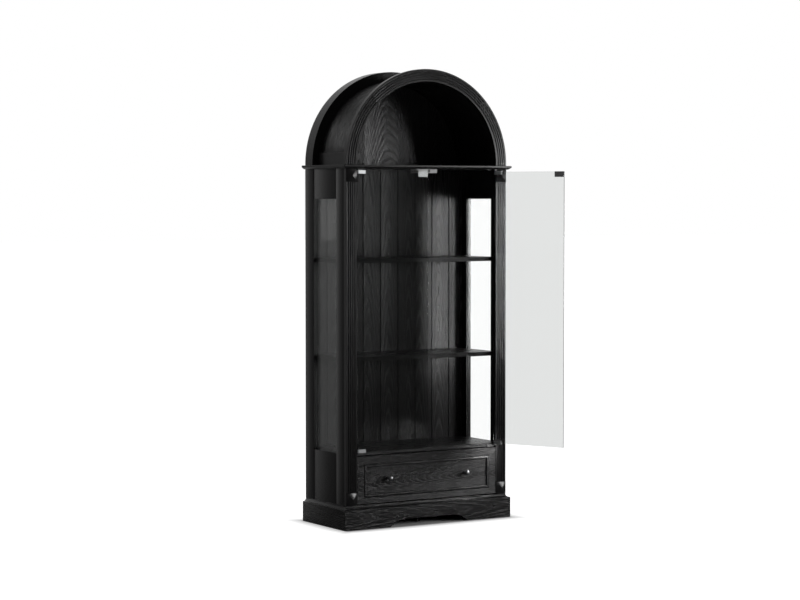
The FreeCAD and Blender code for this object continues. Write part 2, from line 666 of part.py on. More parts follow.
def make_doors():
    pane = board("pane", ("door_centre_gap / 2", "pane_edge"), ("pane_front", "pane_back"),
                 ("pane_bottom", "pane_top"))
    strike = board("strike", ("door_centre_gap / 2", "door_centre_gap / 2 + strike_width"),
                   ("pane_back", "strike_back"), ("pane_top - strike_height", "pane_top"))

    def clip(name, outside, inside, far):
        """A channel over a corner of the pane, round the pin at its hinge end. outside, inside and far are
        the heights of its back, of the pane's edge in it and of the end of its walls."""
        low, high = sorted((outside, far), key=value)
        slot_low, slot_high = sorted((inside, far), key=value)
        web_low, web_high = sorted((outside, inside), key=value)
        depth = ("pivot_y - clip_half", "pivot_y + clip_half")
        bar = board(name + "_bar", ("pivot_x - clip_length", "pivot_x"), depth, (low, high))
        nose = rod(name + "_nose", "clip_half", "pivot_x", "pivot_y", (low, high))
        slot = board(name + "_slot", ("pivot_x - clip_length", "pivot_x + clip_half"),
                     ("pivot_y - clip_slot", "pivot_y + clip_slot"), (slot_low, slot_high))
        eye = rod(name + "_eye", "pin_radius + pin_play", "pivot_x", "pivot_y", (web_low, web_high))
        return cut(name, fuse(name + "_solid", bar, nose), slot, eye)

    def bracket(name, plate, arm_z, pin_z, washer_z):
        """The fixed leaf: a screwed plate, an arm under or over the clip, the pin and its washer."""
        arm = board(name + "_arm", ("pivot_x - clip_half", "pivot_x + washer_radius"),
                    ("pivot_y - washer_radius", "deck_front"), arm_z)
        pin = rod(name + "_pin", "pin_radius", "pivot_x", "pivot_y", pin_z)
        washer = rod(name + "_washer", "washer_radius", "pivot_x", "pivot_y", washer_z)
        return fuse(name, plate, arm, pin, washer)

    clips = group("clips",
                  clip("clip_low", "pane_bottom - clip_wall", "pane_bottom",
                       "pane_bottom - clip_wall + clip_height"),
                  clip("clip_high", "pane_top + clip_wall", "pane_top", "pane_top + clip_wall - clip_height"))

    low_arm = "pane_bottom - clip_wall - bracket_thickness"
    low_plate = board("plate_low", ("pivot_x - bracket_length", "pivot_x + washer_radius"),
                      ("deck_front - bracket_thickness", "deck_front"),
                      ("deck_bottom + bracket_rise", low_arm))
    high_plate = board("plate_high", ("pivot_x - bracket_length", "pivot_x + washer_radius"),
                       ("deck_front - bracket_thickness", "post_back"),
                       ("body_top - bracket_thickness", "body_top"))
    brackets = [
        bracket("bracket_low", low_plate, (low_arm + " - bracket_thickness", low_arm),
                (low_arm, "pane_bottom - fit_gap"), (low_arm, "pane_bottom - clip_wall - fit_gap")),
        bracket("bracket_high", high_plate, ("body_top - bracket_thickness", "body_top"),
                ("pane_top + fit_gap", "body_top"),
                ("pane_top + clip_wall + fit_gap", "body_top")),
    ]
    twins = [mirror(piece.Label + "_twin", piece) for piece in brackets]

    pieces = []
    for piece, source in {"glass": pane, "hinge_clips": clips, "strike": strike}.items():
        pieces += [swung("door_right_" + piece, source), mirror("door_left_" + piece, source)]
    return pieces + [group("hinge_brackets", *(brackets + twins))]


def make_latch():
    shell = board("latch_shell", (minus("latch_width / 2"), "latch_width / 2"),
                  ("latch_front", "latch_front + latch_depth"), ("latch_bottom", "body_top"))
    plunger_x = ("plunger_offset - plunger_width / 2", "plunger_offset + plunger_width / 2")
    plunger_z = ("plunger_middle - plunger_height / 2", "plunger_middle + plunger_height / 2")
    tip = "strike_back + fit_gap"
    plunger = board("latch_plunger_right", plunger_x, (tip, tip + " + plunger_length"), plunger_z)
    mouth = board("latch_mouth", (plunger_x[0] + " - fit_gap", plunger_x[1] + " + fit_gap"),
                  ("latch_front", tip + " + plunger_length + plunger_travel + fit_gap"),
                  (plunger_z[0] + " - fit_gap", plunger_z[1] + " + fit_gap"))
    housing = cut("latch_housing", shell, mouth, mirror("latch_mouth_twin", mouth))
    return [housing, plunger, mirror("latch_plunger_left", plunger)]


# ---- drawer and runners

def make_drawer():
    outer = rectangle((minus("drawer_half"), "drawer_half"), ("drawer_foot", "drawer_head"))
    recess = rectangle((minus("moulding_half"), "moulding_half"), ("moulding_low", "moulding_high"))
    face = new_body("drawer_front", y="post_back")
    pad(face, sketch_on(face, "outline", "XZ_Plane", outer), "post_depth - drawer_recess")
    pad(face, sketch_on(face, "rim", "XZ_Plane", outer, recess), "post_depth")

    sight_half = "moulding_half - bead_moulding_width"
    sight = rectangle((minus(sight_half), sight_half),
                      ("moulding_low + bead_moulding_width", "moulding_high - bead_moulding_width"))
    trim = new_body("drawer_moulding", y="drawer_panel")
    ring = sketch_on(trim, "ring", "XZ_Plane", recess, sight)
    strip = pad(trim, ring, "drawer_recess + bead_moulding_proud")
    crest = -value("drawer_recess + bead_moulding_proud")
    crest_edges = ["Edge%d" % number for number, edge in enumerate(strip.Shape.Edges, 1)
                   if all(abs(vertex.Y - crest) < 1e-6 for vertex in edge.Vertexes)]
    rounding = trim.newObject("PartDesign::Fillet", "rounding")
    rounding.Base = (strip, crest_edges)
    bind(rounding, "Radius", "bead_moulding_round")
    doc.recompute()

    bottom_z = ("box_bottom + drawer_bottom_rise", "box_bottom + drawer_bottom_rise + drawer_bottom_board")
    groove_z = (bottom_z[0] + " - fit_gap", bottom_z[1] + " + fit_gap")
    run = ("post_back", "box_rear")
    blank = board("drawer_side_blank", ("box_inner", "box_half"), run, ("box_bottom", "box_top"))
    groove = board("drawer_side_groove", ("box_inner", "box_inner + drawer_groove"), run, groove_z)
    right_side = cut("drawer_right_side", blank, groove)
    inner = (minus("box_inner"), "box_inner")
    back = board("drawer_back", inner, ("box_rear - drawer_board", "box_rear"),
                 (bottom_z[1], "box_top"))
    half = "box_inner + drawer_groove - fit_gap"
    bottom = board("drawer_bottom", (minus(half), half), run, bottom_z)

    knob = new_body("knob", "knob_spacing / 2", "drawer_panel", "knob_height")
    dome_radius = "(knob_radius ^ 2 + knob_dome ^ 2) / (2 * knob_dome)"
    outline = [("0", "0"), ("knob_foot_radius", "0"), ("knob_foot_radius", minus("knob_foot")),
               ("knob_neck_radius", minus("knob_neck_start")), ("knob_neck_radius", minus("knob_neck_end")),
               ("knob_radius", minus("knob_rim_start")),
               ("knob_radius", "knob_dome - knob_length", minus(dome_radius)), ("0", minus("knob_length"))]
    turning = sketch_on(knob, "turning", "XY_Plane", outline)
    turned = knob.newObject("PartDesign::Revolution", "turned")
    turned.Profile = turning
    turned.ReferenceAxis = (turning, ["V_Axis"])
    turned.Angle = 360
    doc.recompute()
    return [face, trim, right_side, mirror("drawer_left_side", right_side), back, bottom,
            pair("drawer_knobs", knob)]


def make_runners():
    def channel(name, back, depth, height, opens_inwards):
        """A sheet channel along the drawer's side; back is the plane of its web, on the right-hand side."""
        body = new_body(name, back, "runner_end", "runner_middle")
        way = "-1" if opens_inwards else "1"
        half = "(%s) / 2" % height
        tips = "%s * (%s)" % (way, depth)
        web = "%s * runner_sheet" % way
        section = [("0", minus(half)), (tips, minus(half)), (tips, "runner_sheet - %s" % half),
                   (web, "runner_sheet - %s" % half), (web, "%s - runner_sheet" % half),
                   (tips, "%s - runner_sheet" % half), (tips, half), ("0", half)]
        pad(body, sketch_on(body, "section", "XZ_Plane", section), "runner_end - (runner_start)")
        return body

    nested = "2 * (runner_sheet + fit_gap)"
    cabinet = channel("cabinet_channel", "post_inner", "runner_lip", "runner_height", True)
    middle = channel("middle_channel", "post_inner - runner_step", "runner_lip",
                     "runner_height - " + nested, True)
    moving = channel("drawer_channel", "box_half", "runner_width - 2 * runner_step",
                     "runner_height - 2 * " + nested, False)
    packing = board("packing", ("post_inner", "side_inner"), ("post_back", "back_front"),
                    ("runner_middle - packing_height / 2", "runner_middle + packing_height / 2"))
    return [pair("runner_cabinet_members", cabinet), pair("runner_middle_members", middle),
            pair("runner_drawer_members", moving), pair("runner_packings", packing)]


# ---- build, test and write

nodes = (make_plinth() + make_side_frames() + make_posts() + make_cornice() + make_arch() + make_inside()
         + make_doors() + make_latch() + make_drawer() + make_runners())
doc.recompute()

for feature in doc.Objects:
    if "Invalid" in feature.State or "Error" in feature.State:
        raise RuntimeError(feature.Label + " failed: " + ", ".join(feature.State))
for node in nodes:
    if node.Shape.isNull() or not node.Shape.isValid() or not node.Shape.Solids:
        raise RuntimeError(node.Label + " is not a valid solid")
for node in nodes:
    node.Shape.exportStep("parts/%s.step" % node.Label)
print("%d nodes written" % len(nodes))
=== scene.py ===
import json
import math

import bmesh
import bpy
import numpy as np
from bpy.props import FloatProperty, FloatVectorProperty, PointerProperty
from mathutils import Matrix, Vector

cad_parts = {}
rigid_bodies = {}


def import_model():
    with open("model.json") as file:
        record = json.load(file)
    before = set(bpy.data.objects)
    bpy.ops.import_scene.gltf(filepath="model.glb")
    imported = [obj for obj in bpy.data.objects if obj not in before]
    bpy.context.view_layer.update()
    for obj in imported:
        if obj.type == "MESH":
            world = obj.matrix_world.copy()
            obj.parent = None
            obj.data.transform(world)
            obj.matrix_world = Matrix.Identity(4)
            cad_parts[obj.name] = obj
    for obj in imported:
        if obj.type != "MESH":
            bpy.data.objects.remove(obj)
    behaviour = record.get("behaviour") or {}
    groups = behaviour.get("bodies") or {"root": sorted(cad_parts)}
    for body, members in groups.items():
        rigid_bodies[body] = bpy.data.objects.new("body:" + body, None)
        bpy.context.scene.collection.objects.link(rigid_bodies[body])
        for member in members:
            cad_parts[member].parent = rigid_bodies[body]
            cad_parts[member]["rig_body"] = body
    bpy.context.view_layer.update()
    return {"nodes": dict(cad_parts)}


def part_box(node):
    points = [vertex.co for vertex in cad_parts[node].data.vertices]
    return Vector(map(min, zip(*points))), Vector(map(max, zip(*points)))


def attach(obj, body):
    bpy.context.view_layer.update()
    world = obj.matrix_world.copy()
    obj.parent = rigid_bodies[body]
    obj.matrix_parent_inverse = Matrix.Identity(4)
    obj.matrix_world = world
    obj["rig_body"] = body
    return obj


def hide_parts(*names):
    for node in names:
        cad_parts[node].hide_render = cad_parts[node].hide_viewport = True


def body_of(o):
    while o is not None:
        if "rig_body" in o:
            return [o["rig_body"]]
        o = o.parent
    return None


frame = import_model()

# The looks of a tall display bookcase in black-stained oak: fluted posts, an arched niche, glazed sides, two
# frameless glass doors and one drawer. Lengths are metres, X runs right, Y back and Z up.

bl_info = {
    "name": "Glass Door Bookcase",
    "version": (1, 0, 0),
    "blender": (4, 5, 0),
    "location": "3D View > Sidebar > Bookcase",
    "description": "Dresses a display bookcase with an arched niche, glass doors and a drawer",
    "category": "Object",
}


# ---- what a user may change

def colour_property(name, description, default):
    return FloatVectorProperty(name=name, description=description, default=default, subtype="COLOR", size=3,
                               min=0.0, max=1.0)


def length_property(name, description, default):
    return FloatProperty(name=name, description=description, default=default, unit="LENGTH",
                         subtype="DISTANCE", min=0.0)


def share_property(name, description, default):
    return FloatProperty(name=name, description=description, default=default, subtype="FACTOR", min=0.0,
                         max=1.0)


class BookcaseWood(bpy.types.PropertyGroup):
    latewood: colour_property("Stain on hard wood", "Colour of the dense bands of the grain",
                              (0.0240, 0.0232, 0.0236))
    earlywood: colour_property("Stain in open wood", "Colour of the open-pored bands",
                               (0.0034, 0.0032, 0.0033))
    ring_spacing: length_property("Ring spacing", "Between two growth rings at the heart", 0.0030)
    wander: length_property("Wander", "How far the rings stray from a true cone", 0.010)
    satin: share_property("Roughness", "Roughness of the satin lacquer", 0.20)
    gloss: share_property("Specular level", "Strength of the lacquer's reflection", 0.42)
    easing: length_property("Eased edges", "Width of the eased arrises", 0.001)
    crown: FloatProperty(name="Crown", description="Slope of a crowned board at its edges", default=0.20,
                         min=0.0)
    pore_relief: length_property("Pore relief", "Depth of the open pores under the lacquer", 0.0005)
    birch: colour_property("Birch", "Colour of the drawer box", (0.62, 0.45, 0.27))


class BookcaseFittings(bpy.types.PropertyGroup):
    knob_radius: length_property("Knob radius", "Outer radius of a knob", 0.0125)
    knob_metal: colour_property("Knob metal", "Colour of the dark nickel", (0.30, 0.30, 0.31))
    bracket: colour_property("Brackets", "Colour of the blackened hinge brackets", (0.06, 0.06, 0.06))
    chrome: colour_property("Chrome", "Colour of the plated hinge clips", (0.86, 0.87, 0.88))
    strike: colour_property("Strikes", "Colour of the polished strike plates", (0.90, 0.90, 0.91))
    steel: colour_property("Steel", "Colour of the shelf pins", (0.70, 0.70, 0.71))
    zinc: colour_property("Zinc", "Colour of the drawer runners", (0.55, 0.56, 0.58))
    plastic: colour_property("Latch plastic", "Colour of the touch latch", (0.55, 0.55, 0.55))
    glide: colour_property("Glide plastic", "Colour of the floor glides", (0.05, 0.05, 0.05))
    door_glass: colour_property("Door glass", "Tint of the door panes", (0.66, 0.67, 0.665))
    side_glass: colour_property("Side glass", "Tint of the thinner panes of the side frames",
                                (0.99, 1.0, 0.995))
    pane_edge: length_property("Pane edge", "Polished rounding along the edges of a pane", 0.0007)
    screw_radius: length_property("Screw head", "Radius of a screw head", 0.0036)


# ---- nodes of materials

def feed(tree, socket, given):
    """Link a socket, or set a number, colour or vector on it."""
    if isinstance(given, bpy.types.NodeSocket):
        tree.links.new(given, socket)
    elif socket.type == "RGBA" and len(given) == 3:
        socket.default_value = (*given, 1.0)
    else:
        socket.default_value = given


def add(tree, kind, inputs=None, out=0, **settings):
    """Add a shader node, give its inputs by name or number, and return one of its outputs."""
    node = tree.nodes.new("ShaderNode" + kind)
    for name, setting in settings.items():
        setattr(node, name, setting)
    for key, given in (inputs or {}).items():
        feed(tree, node.inputs[key], given)
    return node.outputs[out]


def calculate(tree, operation, first, second=0.0, third=0.0):
    return add(tree, "Math", {0: first, 1: second, 2: third}, operation=operation)


def spread(tree, value, low, high, to_low=0.0, to_high=1.0, smooth=False):
    """Map a value from low..high to to_low..to_high, and no further."""
    return add(tree, "MapRange", {"Value": value, "From Min": low, "From Max": high, "To Min": to_low,
                                  "To Max": to_high}, interpolation_type="SMOOTHSTEP" if smooth else "LINEAR")


def new_group(name, inputs, outputs):
    group = bpy.data.node_groups.new(name, "ShaderNodeTree")
    for label, (kind, default) in inputs.items():
        socket = group.interface.new_socket(name=label, in_out="INPUT", socket_type="NodeSocket" + kind)
        socket.default_value = default
    for label, kind in outputs.items():
        group.interface.new_socket(name=label, in_out="OUTPUT", socket_type="NodeSocket" + kind)
    return group, group.nodes.new("NodeGroupInput").outputs, group.nodes.new("NodeGroupOutput").inputs


def place_group(tree, name, inputs):
    node = tree.nodes.new("ShaderNodeGroup")
    node.node_tree = bpy.data.node_groups[name]
    for key, given in inputs.items():
        feed(tree, node.inputs[key], given)
    return node.outputs


def oak_figure_group():
    """Growth rings of a sawn board. The rings are cones about a heart that runs along X, Heart Depth behind
    the face and nearer at one end by Taper, so a face cut near the heart shows tall arches and a far one
    straight lines."""
    group, given, result = new_group("Oak Figure", {
        "Vector": ("Vector", (0, 0, 0)), "Ring Spacing": ("Float", 0.0065), "Heart Depth": ("Float", 0.05),
        "Taper": ("Float", 0.03), "Wander": ("Float", 0.01), "Hard Wood": ("Color", (0.02, 0.02, 0.02, 1)),
        "Open Wood": ("Color", (0.006, 0.006, 0.006, 1)), "Satin": ("Float", 0.42),
    }, {"Colour": "Color", "Roughness": "Float", "Height": "Float"})

    def streaks(scale, detail, out=0):
        stretched = add(group, "VectorMath", {0: given["Vector"], 1: scale}, operation="MULTIPLY")
        return add(group, "TexNoise", {"Vector": stretched, "Scale": 1.0, "Detail": detail}, out=out)

    drift = streaks((1.3, 9.0, 9.0), 2.0, out=1)
    drift = add(group, "VectorMath", {0: drift, 1: (0.5, 0.5, 0.5)}, operation="SUBTRACT")
    drift = add(group, "VectorMath", {0: drift, "Scale": given["Wander"]}, operation="SCALE")
    moved = add(group, "VectorMath", {0: given["Vector"], 1: drift}, operation="ADD")
    split = group.nodes.new("ShaderNodeSeparateXYZ")
    group.links.new(moved, split.inputs[0])
    along, across, deep = split.outputs
    depth = calculate(group, "MULTIPLY_ADD", along, given["Taper"], given["Heart Depth"])
    depth = calculate(group, "ADD", depth, deep)
    radius = calculate(group, "SQRT", calculate(group, "ADD", calculate(group, "MULTIPLY", across, across),
                                                calculate(group, "MULTIPLY", depth, depth)))
    phase = calculate(group, "FRACT", calculate(group, "DIVIDE", radius, given["Ring Spacing"]))
    rings = spread(group, phase, 0.0, 0.6, smooth=True)
    rings = calculate(group, "SUBTRACT", rings, spread(group, phase, 0.93, 1.0))

    soft = streaks((2.6, 95.0, 95.0), 3.0)
    fine = streaks((22.0, 850.0, 850.0), 1.0)
    pores = calculate(group, "MULTIPLY", spread(group, fine, 0.52, 0.62),
                      spread(group, rings, 0.0, 1.0, 1.0, 0.35))
    shade = calculate(group, "MULTIPLY_ADD", rings, 0.55, spread(group, soft, 0.3, 0.7, -0.05, 0.5))
    shade = calculate(group, "MULTIPLY_ADD", pores, -0.35, shade)
    colour = add(group, "Mix", {0: shade, 6: given["Open Wood"], 7: given["Hard Wood"]}, out=2,
                 data_type="RGBA", clamp_factor=True)
    group.links.new(colour, result["Colour"])
    matt = calculate(group, "MULTIPLY_ADD", spread(group, rings, 0.0, 1.0, 1.0, 0.0), 0.12, given["Satin"])
    group.links.new(calculate(group, "MULTIPLY_ADD", pores, 0.10, matt), result["Roughness"])
    group.links.new(calculate(group, "MULTIPLY_ADD", rings, 0.6, calculate(group, "MULTIPLY", pores, -0.7)),
                    result["Height"])


def matched_boards_group():
    """Cut the X of a face into boards of one width and shift each board's pattern along by its own amount."""
    group, given, result = new_group("Matched Boards", {
        "Vector": ("Vector", (0, 0, 0)), "Board Width": ("Float", 0.0965)}, {"Vector": "Vector"})
    split = group.nodes.new("ShaderNodeSeparateXYZ")
    group.links.new(given["Vector"], split.inputs[0])
    turn = calculate(group, "DIVIDE", split.outputs[1], given["Board Width"])
    number = calculate(group, "ROUND", turn)
    inside = calculate(group, "MULTIPLY", calculate(group, "SUBTRACT", turn, number), given["Board Width"])
    chance = add(group, "TexWhiteNoise", {"W": calculate(group, "ADD", number, 3.7)}, noise_dimensions="1D")
    along = calculate(group, "MULTIPLY_ADD", chance, 5.0, split.outputs[0])
    sideways = calculate(group, "MULTIPLY_ADD", calculate(group, "SUBTRACT", chance, 0.5), 0.05, inside)
    joined = add(group, "CombineXYZ", {0: along, 1: sideways, 2: split.outputs[2]})
    group.links.new(joined, result["Vector"])


def bent_grain_group():
    """Coordinates of a bent piece: length along the arc, distance from its centre line, and depth."""
    group, given, result = new_group("Bent Grain", {
        "Vector": ("Vector", (0, 0, 0)), "Radius": ("Float", 0.41)}, {"Vector": "Vector"})
    split = group.nodes.new("ShaderNodeSeparateXYZ")
    group.links.new(given["Vector"], split.inputs[0])
    x, y, z = split.outputs
    angle = calculate(group, "ARCTAN2", z, x)
    radius = calculate(group, "SQRT", calculate(group, "ADD", calculate(group, "MULTIPLY", x, x),
                                                calculate(group, "MULTIPLY", z, z)))
    arc = calculate(group, "MULTIPLY", angle, given["Radius"])
    across = calculate(group, "SUBTRACT", radius, given["Radius"])
    joined = add(group, "CombineXYZ", {0: arc, 1: across, 2: y})
    group.links.new(joined, result["Vector"])


def handling_group():
    """Faint smears and fine scratches of handled metal, glass and plastic, as a roughness and a height."""
    group, given, result = new_group("Handling", {
        "Vector": ("Vector", (0, 0, 0)), "Roughness": ("Float", 0.1), "Smears": ("Float", 0.05),
        "Brushing": ("Float", 0.0)}, {"Roughness": "Float", "Height": "Float"})
    cloud = add(group, "TexNoise", {"Vector": given["Vector"], "Scale": 14.0, "Detail": 4.0})
    lines = add(group, "VectorMath", {0: given["Vector"], 1: (60.0, 60.0, 2600.0)}, operation="MULTIPLY")
    brushed = add(group, "TexNoise", {"Vector": lines, "Scale": 1.0, "Detail": 2.0})
    smeared = calculate(group, "MULTIPLY_ADD", spread(group, cloud, 0.45, 0.75), given["Smears"],
                        given["Roughness"])
    rough = calculate(group, "MULTIPLY_ADD", calculate(group, "SUBTRACT", brushed, 0.5), given["Brushing"],
                      smeared)
    group.links.new(rough, result["Roughness"])
    group.links.new(brushed, result["Height"])


def new_material(name):
    """A material with its Principled shader, and a function that feeds the shader's inputs."""
    material = bpy.data.materials.new(name)
    material.use_nodes = True
    tree = material.node_tree
    shader = tree.nodes["Principled BSDF"]

    def give(**inputs):
        for key, given in inputs.items():
            feed(tree, shader.inputs[key.replace("_", " ")], given)
    return material, tree, shader, give


def relief(tree, height, depth, strength=1.0):
    return add(tree, "Bump", {"Height": height, "Distance": depth, "Strength": strength})


AXES = {"x": 0, "y": 1, "z": 2}


def sawn(tree, order, centre):
    """Object coordinates with the piece's middle at zero, ordered along, across and through the board."""
    place = add(tree, "TexCoord", out=3)
    centred = add(tree, "VectorMath", {0: place, 1: centre}, operation="SUBTRACT")
    split = tree.nodes.new("ShaderNodeSeparateXYZ")
    tree.links.new(centred, split.inputs[0])
    return add(tree, "CombineXYZ", {number: split.outputs[AXES[axis]] for number, axis in enumerate(order)})


def crowned(tree, axis, low, high, slope):
    """A barrel in the shading of a flat board: its height falls with the square of the distance from the
    middle, and slope is the steepest, at the edges."""
    split = tree.nodes.new("ShaderNodeSeparateXYZ")
    tree.links.new(add(tree, "TexCoord", out=3), split.inputs[0])
    away = calculate(tree, "SUBTRACT", split.outputs[axis], (low + high) / 2)
    square = calculate(tree, "MULTIPLY", away, away)
    return relief(tree, calculate(tree, "MULTIPLY", square, -1.0), slope / (high - low))


# what a grain filler leaves of the figure and the pores, and what it adds to the roughness
GRAIN_LEFT, FILLER_ROUGHNESS = 0.12, 0.07


def black_oak(name, order, centre, heart=0.05, taper=0.03, boards=None, bend=None, crown=None):
    """Black-stained oak whose figure is laid out for one piece; the grain of the FILLED pieces is filled."""
    wood = bpy.context.scene.bookcase_wood
    filled = name.startswith(FILLED)
    open_grain = GRAIN_LEFT if filled else 1.0
    hard, soft = np.array(wood.latewood), np.array(wood.earlywood)
    hard, soft = ((hard + soft) / 2 + (tone - (hard + soft) / 2) * open_grain for tone in (hard, soft))
    material, tree, _, give = new_material("black_oak_" + name)
    if bend is None:
        vector = sawn(tree, order, centre)
    else:
        place = sawn(tree, "xyz", centre)
        vector = place_group(tree, "Bent Grain", {"Vector": place, "Radius": bend})["Vector"]
    if boards is not None:
        vector = place_group(tree, "Matched Boards", {"Vector": vector, "Board Width": boards})["Vector"]
    figure = place_group(tree, "Oak Figure", {
        "Vector": vector, "Ring Spacing": wood.ring_spacing, "Heart Depth": heart, "Taper": taper,
        "Wander": wood.wander, "Hard Wood": tuple(hard), "Open Wood": tuple(soft), "Satin": wood.satin})
    pores = add(tree, "Bump", {"Height": figure["Height"], "Distance": wood.pore_relief * open_grain})
    if crown is not None:
        feed(tree, pores.node.inputs["Normal"], crowned(tree, *crown, wood.crown))
    roughness = wood.satin + FILLER_ROUGHNESS if filled else figure["Roughness"]
    give(Base_Color=figure["Colour"], Roughness=roughness, Specular_IOR_Level=wood.gloss, Normal=pores)
    return material


def dress(material, *names):
    """Give CAD nodes one material."""
    for name in names:
        slots = frame["nodes"][name].data.materials
        slots.clear()
        slots.append(material)


# ---- stage

class BOOKCASE_OT_stage(bpy.types.Operator):
    """Set the floor, the studio light and the camera"""
    bl_idname = "bookcase.stage"
    bl_label = "Stage"

    def execute(self, context):
        make_floor()
        make_world()
        make_lights()
        make_camera()
        context.scene.view_settings.view_transform = "Standard"
        return {"FINISHED"}


FLOOR_HALF = 60.0
# painted shade round the plinth: the floor's glow beside the plinth and far from it, how far the rise between
# them goes, and the painted dark rim at the plinth's foot
SHADED_GLOW_NEAR, FLOOR_FAR, PAINTED_SHADE_REACH, PAINTED_RIM_SHADE = 0.36, 1.0, 0.12, 0.035
# the floor's colour, what of the backdrop it gives to reflections, and the white seen through glass
FLOOR_COLOUR, FLOOR_MIRRORED, THROUGH_GLASS = 0.80, 0.7, 1.25


def painted_plinth_shadow(tree):
    """A painted shadow round the plinth, made from the distance outside the plinth's rectangle and not from
    light: the product of two smooth rises, from nought to one over PAINTED_RIM_SHADE, a painted dark rim, and
    from SHADED_GLOW_NEAR to FLOOR_FAR over PAINTED_SHADE_REACH."""
    low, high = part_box("base_panel")
    place = add(tree, "TexCoord", out=3)
    split = tree.nodes.new("ShaderNodeSeparateXYZ")
    tree.links.new(place, split.inputs[0])
    outside = [calculate(tree, "SUBTRACT", calculate(tree, "ABSOLUTE", split.outputs[axis]), high[axis])
               for axis in (0, 1)]
    away = calculate(tree, "MAXIMUM", *outside)
    rise = spread(tree, away, 0.0, PAINTED_SHADE_REACH, SHADED_GLOW_NEAR, FLOOR_FAR, smooth=True)
    return calculate(tree, "MULTIPLY", rise, spread(tree, away, 0.0, PAINTED_RIM_SHADE, smooth=True))


def direct(tree, path):
    """One for what the camera sees, straight or through glass, and nought for what the object sees."""
    clear = calculate(tree, "MAXIMUM", path.outputs["Is Camera Ray"], path.outputs["Is Transmission Ray"])
    bounced = calculate(tree, "ADD", path.outputs["Diffuse Depth"], path.outputs["Glossy Depth"])
    return calculate(tree, "MULTIPLY", clear, calculate(tree, "LESS_THAN", bounced, 0.5))


def make_floor():
    """A flat floor: x and y run over a square grid and z is nought. It glows white for what the camera sees
    and passes a share of the backdrop on to reflections, and both are dimmed at the plinth by
    painted_plinth_shadow, a painted shadow."""
    line = np.linspace(-FLOOR_HALF, FLOOR_HALF, 5)
    points = np.stack(np.meshgrid(line, line, [0.0], indexing="ij"), axis=-1)[:, :, 0]
    floor = grid_piece("floor", points)
    material, tree, _, give = new_material("studio_floor")
    give(Roughness=0.9, Specular_IOR_Level=0.0)
    path = tree.nodes.new("ShaderNodeLightPath")
    seen = direct(tree, path)
    straight = calculate(tree, "SUBTRACT", 1.0, path.outputs["Is Transmission Ray"])
    mirrored = calculate(tree, "MULTIPLY", path.outputs["Is Glossy Ray"], straight)
    pale = spread(tree, path.outputs["Is Glossy Ray"], 0.0, 1.0, FLOOR_COLOUR, 0.0)
    give(Base_Color=add(tree, "CombineColor", {0: pale, 1: pale, 2: pale}))
    way = add(tree, "VectorMath", {0: add(tree, "TexCoord", out=3)}, operation="NORMALIZE")
    far = calculate(tree, "MULTIPLY", backdrop_light(tree, way), FLOOR_MIRRORED)
    near = calculate(tree, "MULTIPLY", seen, spread(tree, path.outputs["Is Transmission Ray"], 0.0, 1.0, 1.0,
                                                    THROUGH_GLASS))
    glow = calculate(tree, "MULTIPLY_ADD", mirrored, far, near)
    # painted shadow: the glow is dimmed round the plinth by distance from the plinth, not by the lamps
    glow = calculate(tree, "MULTIPLY", glow, painted_plinth_shadow(tree))
    give(Emission_Color=(1.0, 1.0, 1.0), Emission_Strength=glow)
    floor.data.materials.append(material)


# the direction in which the backdrop is brightest, its glow there, how fast that falls, and the glow around
BACKDROP = (0.465, 0.874, 0.139)
BACKDROP_GLOW, BACKDROP_FALL, AMBIENT = 0.74, 2.5, 0.04


def backdrop_light(tree, way):
    """The light of a pale backdrop: BACKDROP_GLOW * exp(BACKDROP_FALL * (cosine of the angle to BACKDROP
    - 1)) + AMBIENT."""
    away = add(tree, "VectorMath", {0: way, 1: BACKDROP}, out=1, operation="DOT_PRODUCT")
    fall = calculate(tree, "EXPONENT", calculate(tree, "MULTIPLY_ADD", away, BACKDROP_FALL, -BACKDROP_FALL))
    return calculate(tree, "MULTIPLY_ADD", fall, BACKDROP_GLOW, AMBIENT)


def make_world():
    """White for what the camera sees, straight or through glass, and the backdrop for all else."""
    world = bpy.data.worlds.new("studio")
    bpy.context.scene.world = world
    world.use_nodes = True
    tree = world.node_tree
    tree.nodes.clear()
    path = tree.nodes.new("ShaderNodeLightPath")
    clear = direct(tree, path)
    around = backdrop_light(tree, add(tree, "TexCoord", out=0))
    lit = add(tree, "Background", {"Color": (1, 1, 1), "Strength": around})
    white = add(tree, "Background", {"Color": (1, 1, 1), "Strength": spread(
        tree, path.outputs["Is Transmission Ray"], 0.0, 1.0, 1.0, THROUGH_GLASS)})
    shown = add(tree, "MixShader", {0: clear, 1: lit, 2: white})
    output = tree.nodes.new("ShaderNodeOutputWorld")
    tree.links.new(shown, output.inputs["Surface"])


def area_light(name, place, target, size, power, beam):
    """A rectangular lamp that points at a target, with its beam's full angle in degrees."""
    lamp = bpy.data.lights.new(name, "AREA")
    lamp.shape = "RECTANGLE"
    lamp.size, lamp.size_y = size
    lamp.energy = power
    lamp.spread = math.radians(beam)
    holder = bpy.data.objects.new(name, lamp)
    holder.location = place
    way = np.subtract(target, place)
    tilt = math.atan2(math.hypot(way[0], way[1]), -way[2])
    holder.rotation_euler = (tilt, 0.0, math.atan2(-way[0], way[1]))
    holder.visible_camera = False
    holder.visible_transmission = False
    bpy.context.scene.collection.objects.link(holder)


# each lamp's name, place, target, width and height, watts, and beam in degrees
LAMPS = (
    ("key", (3.825, -3.209, 1.362), (0.0, 0.0, 1.1), (2.6, 1.2), 108.0, 180.0),
    ("left_soft", (-3.355, 2.349, 3.97), (0.0, 0.0, 1.1), (2.0, 2.0), 36.0, 180.0),
    ("board_strip", (1.07, -0.74, 1.20), (0.22, 0.18, 1.15), (0.10, 0.90), 1.3, 26.0),
    ("drawer_glow", (0.42, -0.30, 0.36), (0.30, -0.16, 0.27), (0.06, 0.10), 0.18, 70.0),
)


def make_lights():
    for lamp in LAMPS:
        area_light(*lamp)


